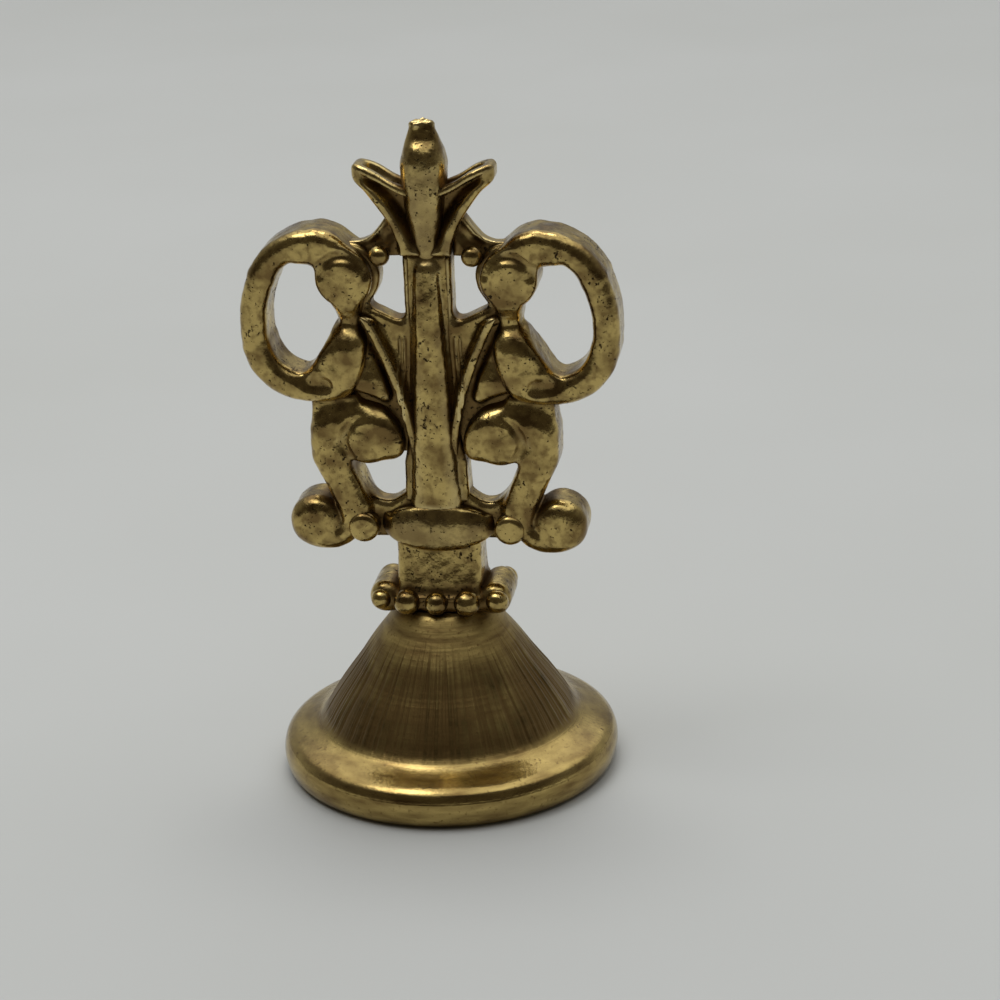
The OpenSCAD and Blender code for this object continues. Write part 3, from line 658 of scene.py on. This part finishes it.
def as_metal(tree, shader, colour, rough, height, strength, deep_mm):
    """Makes a shader bare metal with a colour, a roughness and a bump of a depth in mm."""
    tree.links.new(colour, shader.inputs["Base Color"])
    tree.links.new(rough, shader.inputs["Roughness"])
    shader.inputs["Metallic"].default_value = 1.0
    bump = add(tree, "ShaderNodeBump", {"Height": height, "Strength": strength, "Distance": deep_mm * MM})
    tree.links.new(bump.outputs[0], shader.inputs["Normal"])


print("pattern helpers ready")

# %% [markdown]
# ## Gilt brass, cast and worn
# The handle is cast brass with a thin gilt wash. Fingers polish the high places, and tarnish and old
# wax darken the hollows, with painted shade added where the form closes in. Fine black pits are scattered
# over the flats, where the casting was porous.
# Metal takes its colour from what it mirrors, so the base colour is only the tint of the reflection.

# %% Gilt cast brass
# The tarnish brown serves both for real tarnish and for the painted shade laid in the hollows
GILT, RUBBED, STAIN, TARNISH_AND_SHADE, PIT = "#c4ac6b", "#d6c188", "#7c653d", "#77603a", "#35291a"


def gilt_cast_brass():
    material, tree, shader = new_material("gilt_cast_brass")
    where = add(tree, "ShaderNodeTexCoord").outputs["Object"]
    hollow = add(tree, "ShaderNodeAttribute", attribute_name="hollow").outputs["Fac"]
    edge = add(tree, "ShaderNodeAttribute", attribute_name="edge").outputs["Fac"]
    # Clouds of brown stain about 2 mm across, over the whole skin
    cloud = noise(tree, where, 2.0, 6.0)
    stain = spread(tree, cloud, 0.4, 0.64)
    # Casting pits about 0.1 mm wide, drawn at twice that so that they show, thicker in patches
    pore, patch = noise(tree, where, 0.24, 2.0), noise(tree, where, 1.5, 3.0)
    first = reckon(tree, "MULTIPLY_ADD", patch, -0.5, 0.88)
    pit = spread(tree, pore, first, reckon(tree, "ADD", first, 0.1))
    # Grains of brown about 0.5 mm wide, where the gilt has gone thin
    grain = spread(tree, noise(tree, where, 0.5, 5.0), 0.5, 0.8)
    # Tarnish and painted shade gather where the form is hollow, with a ragged border
    shade_and_tarnish = spread(tree, reckon(tree, "MULTIPLY_ADD", cloud, 0.5, hollow), 0.5, 1.1)
    worn = spread(tree, edge, 0.15, 0.7)
    colour = tint(tree, stain, GILT, STAIN)
    for share, over in ((grain, TARNISH_AND_SHADE), (worn, RUBBED), (shade_and_tarnish, TARNISH_AND_SHADE), (pit, PIT)):
        colour = tint(tree, share, colour, over)
    rough = reckon(tree, "MULTIPLY_ADD", shade_and_tarnish, 0.2, 0.19)
    rough = reckon(tree, "MULTIPLY_ADD", pit, 0.3, rough)
    height = reckon(tree, "MULTIPLY_ADD", pit, -0.6, pore)
    height = reckon(tree, "MULTIPLY_ADD", patch, 8.0, height)
    as_metal(tree, shader, colour, rough, height, 0.3, 0.04)
    return material


gilt = gilt_cast_brass()
print(gilt.name)

# %% [markdown]
# ## Putting the handle together
# Every shape becomes a mesh in metres, rides on the stamp's one body and replaces its node. The right
# hand pieces are made once and mirrored to the left, as the pattern maker would have done.

# %% Cast pieces
CELL = 0.12
made = []


def cast(name, verts, faces, hollow, edge, node, material):
    """A mesh piece from points in mm, riding on the stamp in place of its node."""
    mesh = bpy.data.meshes.new(name)
    mesh.from_pydata((verts * MM).tolist(), [], faces.tolist())
    for key, values in (("hollow", hollow), ("edge", edge)):
        mesh.attributes.new(key, "FLOAT", "POINT").data.foreach_set("value", values.astype(np.float32))
    mesh.shade_smooth()
    mesh.materials.append(material)
    piece = bpy.data.objects.new(name, mesh)
    bpy.context.collection.objects.link(piece)
    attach(piece, "root")
    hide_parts(node)
    made.append(name)


def shape_box(node, grow=(2.6, 0.6, 4.6)):
    """Corners of a node's box in mm, with room for the dressed shape."""
    low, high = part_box(node)
    return np.array(low) / MM - grow, np.array(high) / MM + grow


def cast_shape(shape, node, piece_name, mirror=None):
    verts, faces = skin(shape, *shape_box(node), CELL)
    normals = slope(shape, verts)
    normals /= np.maximum(np.linalg.norm(normals, axis=1), 1e-6)[:, None]
    hollow, edge = hollow_and_edge(verts, normals)
    cast(piece_name, verts, faces, hollow, edge, node, gilt)
    if mirror:
        left = piece_name.replace("right", "left")
        cast(left, verts * (-1, 1, 1), faces[:, ::-1], hollow, edge, mirror, gilt)


for shape, node in (
    (c_scroll, "c_scroll"), (s_scroll, "s_scroll"), (leaf, "leaf"), (web, "web"),
    (pad, "pad"), (petal, "petal"), (link, "link"),
):
    cast_shape(shape, "right_" + node, "cast_right_" + node, mirror="left_" + node)
print(len(made), "mirrored pieces")

# %% [markdown]
# ## The middle pieces
# Stem, bud, collars and beads stand on the middle line. They need no mirror image, but small beads at both
# sides belong to one node, so their shape is folded over the middle before it is skinned.

# %% Middle pieces
def both_sides(shape):
    """A right hand shape and its mirror image as one."""
    return lambda x, y, z: shape(np.abs(x), y, z)


for shape, node in (
    (stem, "stem"), (bud, "finial_bud"), (band_collar, "band_collar"), (neck_block, "neck_block"),
    (bead_collar, "bead_collar"), (collar_bead, "collar_beads"),
    (both_sides(band_bead), "band_beads"), (both_sides(petal_bead), "petal_beads"),
):
    cast_shape(shape, node, "cast_" + node)
print(len(made), "cast pieces")

# %% [markdown]
# ## The bell foot
# The foot is turned: a hollow bell that flares to a sloping rim. A revolved profile gives the form. It has
# many steps round the axis, because the strokes that follow are cut into the mesh.

# %% Turning
def turned(outline, steps):
    """Vertices and quads of an outline (radius, height) turned round the upright axis."""
    angle = np.linspace(0, 2 * math.pi, steps, endpoint=False)
    r, h = outline[:, 0][:, None], outline[:, 1][:, None]
    verts = np.stack([r * np.cos(angle), r * np.sin(angle), h + 0 * angle], axis=2)
    index = np.arange(len(outline) * steps).reshape(len(outline), steps)
    a, b = index, np.roll(index, -1, axis=1)
    c, d = np.roll(b, -1, axis=0), np.roll(a, -1, axis=0)
    faces = np.stack([a, b, c, d], axis=2).reshape(-1, 4)
    return verts.reshape(-1, 3), faces, angle


# Radius and height: down the outside from the crown to the resting face, then up the inside
BELL_OUT = [
    (1.3, 12.9), (3.0, 12.9), (3.45, 12.72), (3.83, 12.3), (4.18, 11.85), (4.5, 11.42),
    (4.95, 10.85), (5.65, 9.93), (6.75, 8.3), (7.95, 6.65), (8.85, 5.3), (9.25, 4.6),
    (9.6, 4.1), (10.0, 3.76), (10.6, 3.48), (11.4, 3.2), (11.95, 2.98), (12.35, 2.66),
    (12.57, 2.2), (12.66, 1.65), (12.6, 1.05), (12.42, 0.5), (12.15, 0.14), (11.8, 0.0),
]
BELL_IN = [
    (10.95, 0.0), (10.88, 0.1), (10.86, 2.2), (9.7, 2.2), (9.6, 2.3), (7.75, 3.6), (2.8, 10.95), (1.3, 11.0),
]
BELL_STEPS = 1800
outer = smooth_line(BELL_OUT, 5)
outline = np.vstack([outer, np.array(BELL_IN)])
verts, faces, angle = turned(outline[::-1], BELL_STEPS)
print("bell:", len(verts), "points")

# %% [markdown]
# ## The scored strokes
# The maker scored the bell with fine strokes from crown to rim before gilding. They are cut into the mesh
# itself, so they catch the light at every angle. Three sets of uneven width lie over one another, as a hand
# never draws the same stroke twice.

# %% Scored strokes
# Strokes round the bell, with the depth that each set is cut to
STROKES = ((150, 0.06), (290, 0.08), (450, 0.04))
# Lowest start of a stroke, the height over which starts are scattered, and where strokes end above the rim
START_LOW, START_SCATTER, STROKE_END = 9.4, 2.6, 3.95
rng = np.random.default_rng(7)
depth = np.zeros((len(outline), len(angle)))
heights = outline[::-1, 1]
outside = np.arange(len(outline))[::-1] < len(outer)
for count, size in STROKES:
    knots = rng.random(count)
    starts = START_LOW + START_SCATTER * rng.random(count)
    place = angle / (2 * math.pi) * count
    i = np.floor(place).astype(int) % count
    share = ease(place - np.floor(place), 0, 1)
    line = knots[i] * (1 - share) + knots[(i + 1) % count] * share
    start = starts[i] * (1 - share) + starts[(i + 1) % count] * share
    below_start = np.clip((start[None, :] - heights[:, None]) / 2.2, 0, 1)
    fade = below_start * np.clip((heights[:, None] - STROKE_END) / 0.8, 0, 1)
    depth += size * (line[None, :] - 0.35) * fade * outside[:, None]
shrink = 1 - depth.ravel() / np.maximum(np.hypot(verts[:, 0], verts[:, 1]), 1)
bell_verts = verts * np.stack([shrink, shrink, np.ones(len(verts))], axis=1)
print("strokes up to", round(float(depth.max()), 3), "mm deep")

# %% [markdown]
# ## Gilt brass, scored and polished
# On the bell the gilding is thin between the strokes and brown dirt has stayed in them, darkest low on the
# slope. The rim below is smooth and has kept its polish, with brown wear in clouds along it. One material
# does both, with the height above the board deciding where each finish lies.

# %% Scored bell brass
BELL_BROWN = "#4f4226"


def scored_bell_brass():
    material, tree, shader = new_material("scored_bell_brass")
    where = add(tree, "ShaderNodeTexCoord").outputs["Object"]
    height = add(tree, "ShaderNodeSeparateXYZ", {0: where}).outputs["Z"]
    score = add(tree, "ShaderNodeAttribute", attribute_name="hollow").outputs["Fac"]
    cloud, pore = noise(tree, where, 4.0, 5.0), noise(tree, where, 0.3, 3.0)
    # Brown lies between the rim and the smooth top of the bell
    on_bell = spread(tree, height, 3.5 * MM, 4.6 * MM)
    below_top = spread(tree, height, 12.2 * MM, 8.5 * MM)
    zone = reckon(tree, "MULTIPLY", on_bell, below_top)
    brown = spread(tree, reckon(tree, "MULTIPLY", cloud, zone), 0.15, 0.6)
    # Brown wear over the smooth rim, in clouds drawn out along it
    drawn = add(tree, "ShaderNodeMapping", {"Vector": where, "Scale": (1, 1, 5)}).outputs[0]
    wear = spread(tree, noise(tree, drawn, 3.0, 6.0), 0.28, 0.72)
    line = reckon(tree, "MULTIPLY", score, 0.85)
    speck = spread(tree, pore, 0.6, 0.75)
    colour = tint(tree, brown, GILT, BELL_BROWN)
    for share, over in ((wear, STAIN), (line, TARNISH_AND_SHADE), (speck, TARNISH_AND_SHADE)):
        colour = tint(tree, share, colour, over)
    rough = reckon(tree, "MULTIPLY_ADD", on_bell, 0.24, 0.19)
    # Lines left by the turning tool, about 0.3 mm apart
    swell = reckon(tree, "MULTIPLY_ADD", cloud, 6.0, lines_along(tree, height, 0.3))
    swell = reckon(tree, "ADD", swell, pore)
    as_metal(tree, shader, colour, rough, swell, 0.3, 0.04)
    return material


scored_brass = scored_bell_brass()
FULL_SCORE = 0.04
score = np.clip(depth.ravel() / FULL_SCORE, 0, 1)
cast("turned_bell_foot", bell_verts, faces, score, 0 * score, "bell_foot", scored_brass)
print(scored_brass.name)

# %% [markdown]
# ## The seal die
# The die is a brass disc let into the rim from below, with a border and a six-petal rosette cut into its
# face for the wax to rise into. The cuts are rounded hollows, so the wax releases cleanly.

# %% Seal die
def seal_die(x, y, z):
    low, high = level("seal_die", 0), level("seal_die", 1)
    rho = np.hypot(x, y)
    disc = relief(rho - 10.8, np.abs(z - (low + high) / 2), (high - low) / 2, 0.15)
    depth = z - low
    border = np.hypot(rho - 8.6, depth + 0.1) - 0.45
    sixth = math.pi / 3
    a = (np.arctan2(y, x) + sixth / 2) % sixth - sixth / 2
    px, py = rho * np.cos(a) - 4.6, rho * np.sin(a)
    petal_cut = np.sqrt((px / 1.25) ** 2 + py ** 2 + (1.3 * (depth + 0.4)) ** 2) - 1.5
    heart = np.sqrt(rho ** 2 + (1.4 * (depth + 0.35)) ** 2) - 1.4
    return carve(disc, np.minimum.reduce([border, petal_cut, heart]), 0.08)


print("die", round(level("seal_die", 1) - level("seal_die", 0), 2), "mm thick")

# %% [markdown]
# ## Metal from the lathe
# Die and screw are left as the lathe leaves them: fine rings round the axis and a slight change of tone. The
# rings come from the distance to the axis, so they run round every turned face without any mapping.

# %% Turned metal
DIE_TONES = ("#cdb06a", "#8e7440")
DIE_CELL = 0.15


def turned_metal(name, tones, rough, line_mm):
    """Metal fresh from the lathe, with rings round its axis."""
    material, tree, shader = new_material(name)
    where = add(tree, "ShaderNodeTexCoord").outputs["Object"]
    flat = add(tree, "ShaderNodeMapping", {"Vector": where, "Scale": (1, 1, 0)}).outputs[0]
    far = add(tree, "ShaderNodeVectorMath", {0: flat}, operation="LENGTH").outputs["Value"]
    rings = lines_along(tree, far, line_mm)
    tone = spread(tree, noise(tree, where, 3.0, 4.0), 0.35, 0.75)
    gloss = reckon(tree, "MULTIPLY_ADD", rings, 0.2, rough)
    as_metal(tree, shader, tint(tree, tone, *tones), gloss, rings, 0.2, 0.03)
    return material


die_brass = turned_metal("turned_die_brass", DIE_TONES, 0.22, 0.18)
verts, faces = skin(seal_die, *shape_box("seal_die", 0.2), DIE_CELL)
still = np.zeros(len(verts))
cast("engraved_seal_die", verts, faces, still, still, "seal_die", die_brass)
print("die:", len(verts), "points")

# %% [markdown]
# ## The tie screw and its washer
# Inside the bell a slotted screw draws foot, collars and neck up to the stem. Nobody sees it once the die
# is in, but a maker taking the stamp apart would. Its thread is a ridge that climbs round the shank.

# %% Tie screw and washer
STEEL_TONES = ("#9c9fa2", "#6c6f72")
SCREW_CELL = 0.09


def tie_screw(x, y, z):
    low, high = level("tie_screw", 0), level("tie_screw", 1)
    head_top = level("washer", 0)
    rho, turn = np.hypot(x, y), np.arctan2(y, x) / (2 * math.pi)
    head = relief(rho - 2.2, np.abs(z - (low + head_top) / 2), (head_top - low) / 2, 0.3)
    slot = np.maximum(np.abs(y) - 0.35, z - low - 0.8)
    pitch = 0.45
    crest = np.abs((z / pitch - turn) % 1 - 0.5) * 2
    shank = np.maximum((rho - 0.93 - 0.16 * crest) * 0.75, np.maximum(head_top - 0.2 - z, z - high + 0.02))
    shank = np.maximum(shank, (rho + z - high - 0.5) * 0.7)
    return np.minimum(carve(head, slot, 0.05), shank)


def washer(x, y, z):
    low, high = level("washer", 0), level("washer", 1)
    rho = np.hypot(x, y)
    return relief(np.abs(rho - 1.92) - 0.66, np.abs(z - (low + high) / 2), (high - low) / 2, 0.12)


steel = turned_metal("turned_steel", STEEL_TONES, 0.28, 0.12)
for shape, node in ((tie_screw, "tie_screw"), (washer, "washer")):
    verts, faces = skin(shape, *shape_box(node, 0.2), SCREW_CELL)
    still = np.zeros(len(verts))
    cast("turned_" + node, verts, faces, still, still, node, steel)
print("screw and washer done")

# %% [markdown]
# ## The board
# The stamp stands on a plain pale board. It does more than carry the stamp: polished metal shows its
# surroundings, and the upright faces mirror the board in front of them. So the board's tone sets theirs.

# %% Floor
BOARD_TONES = ("#c0c2bf", "#c4c6c4")


def pale_board():
    material, tree, shader = new_material("pale_painted_board")
    where = add(tree, "ShaderNodeTexCoord").outputs["Object"]
    # The board's slow unevenness, about 60 mm across
    cloud = spread(tree, noise(tree, where, 60, 3.0), 0.3, 0.7)
    tree.links.new(tint(tree, cloud, *BOARD_TONES), shader.inputs["Base Color"])
    shader.inputs["Roughness"].default_value = 0.6
    shader.inputs["Specular IOR Level"].default_value = 0.2
    return material


bpy.ops.mesh.primitive_plane_add(size=6, location=(0, 0, -0.00002))
board = bpy.context.object
board.name = "pale_board"
board.data.materials.append(pale_board())
print("board", board.dimensions[:2])

# %% [markdown]
# ## Light
# The light is arranged for the reflections. A soft lamp high at the left gives the sparkle, and one behind
# the stamp lets its shadow fall to the front. A dim room at eye height gives the dark bands, and a bright
# ceiling the pale ones. A picture of a room would do the same, but a few nodes can be tuned one by one.

# %% Lamps
def lamp(name, at, aim, size, power):
    """A rectangle of soft light, sizes in metres and power in watts."""
    data = bpy.data.lights.new(name, "AREA")
    data.shape = "RECTANGLE"
    data.size, data.size_y = size
    data.energy = power
    thing = bpy.data.objects.new(name, data)
    thing.location = at
    thing.rotation_euler = (Vector(aim) - Vector(at)).to_track_quat("-Z", "Y").to_euler()
    bpy.context.collection.objects.link(thing)


lamp("high_window", (-0.16, -0.06, 0.5), (0, 0, 0.02), (0.22, 0.22), 0.45)
lamp("back_window", (-0.02, 0.17, 0.48), (0, 0, 0.02), (0.2, 0.14), 0.5)

print(len(bpy.data.lights), "lamps")

# %% Room
WALL_FRONT, WALL_BACK, CEILING, BACKDROP = "#46413a", "#969694", "#ffffff", "#b4b6b4"
world = bpy.data.worlds.new("studio_room")
bpy.context.scene.world = world
world.use_nodes = True
room = world.node_tree
facing = add(room, "ShaderNodeSeparateXYZ", {0: add(room, "ShaderNodeTexCoord").outputs["Generated"]})
# The bright ceiling reaches lower behind the stamp than over the camera
lifted = reckon(room, "MULTIPLY_ADD", facing.outputs["Y"], 0.3, facing.outputs["Z"])
wall = tint(room, spread(room, facing.outputs["Y"], -0.4, 0.7), WALL_FRONT, WALL_BACK)
tone = tint(room, spread(room, lifted, 0.66, 0.84), wall, CEILING)
# Straight behind the board the camera sees the board's own pale grey
tone = tint(room, add(room, "ShaderNodeLightPath").outputs["Is Camera Ray"], tone, BACKDROP)
room.links.new(tone, room.nodes["Background"].inputs["Color"])
room.nodes["Background"].inputs["Strength"].default_value = 1.15
bpy.context.scene.view_settings.view_transform = "Standard"
print("room", world.name)
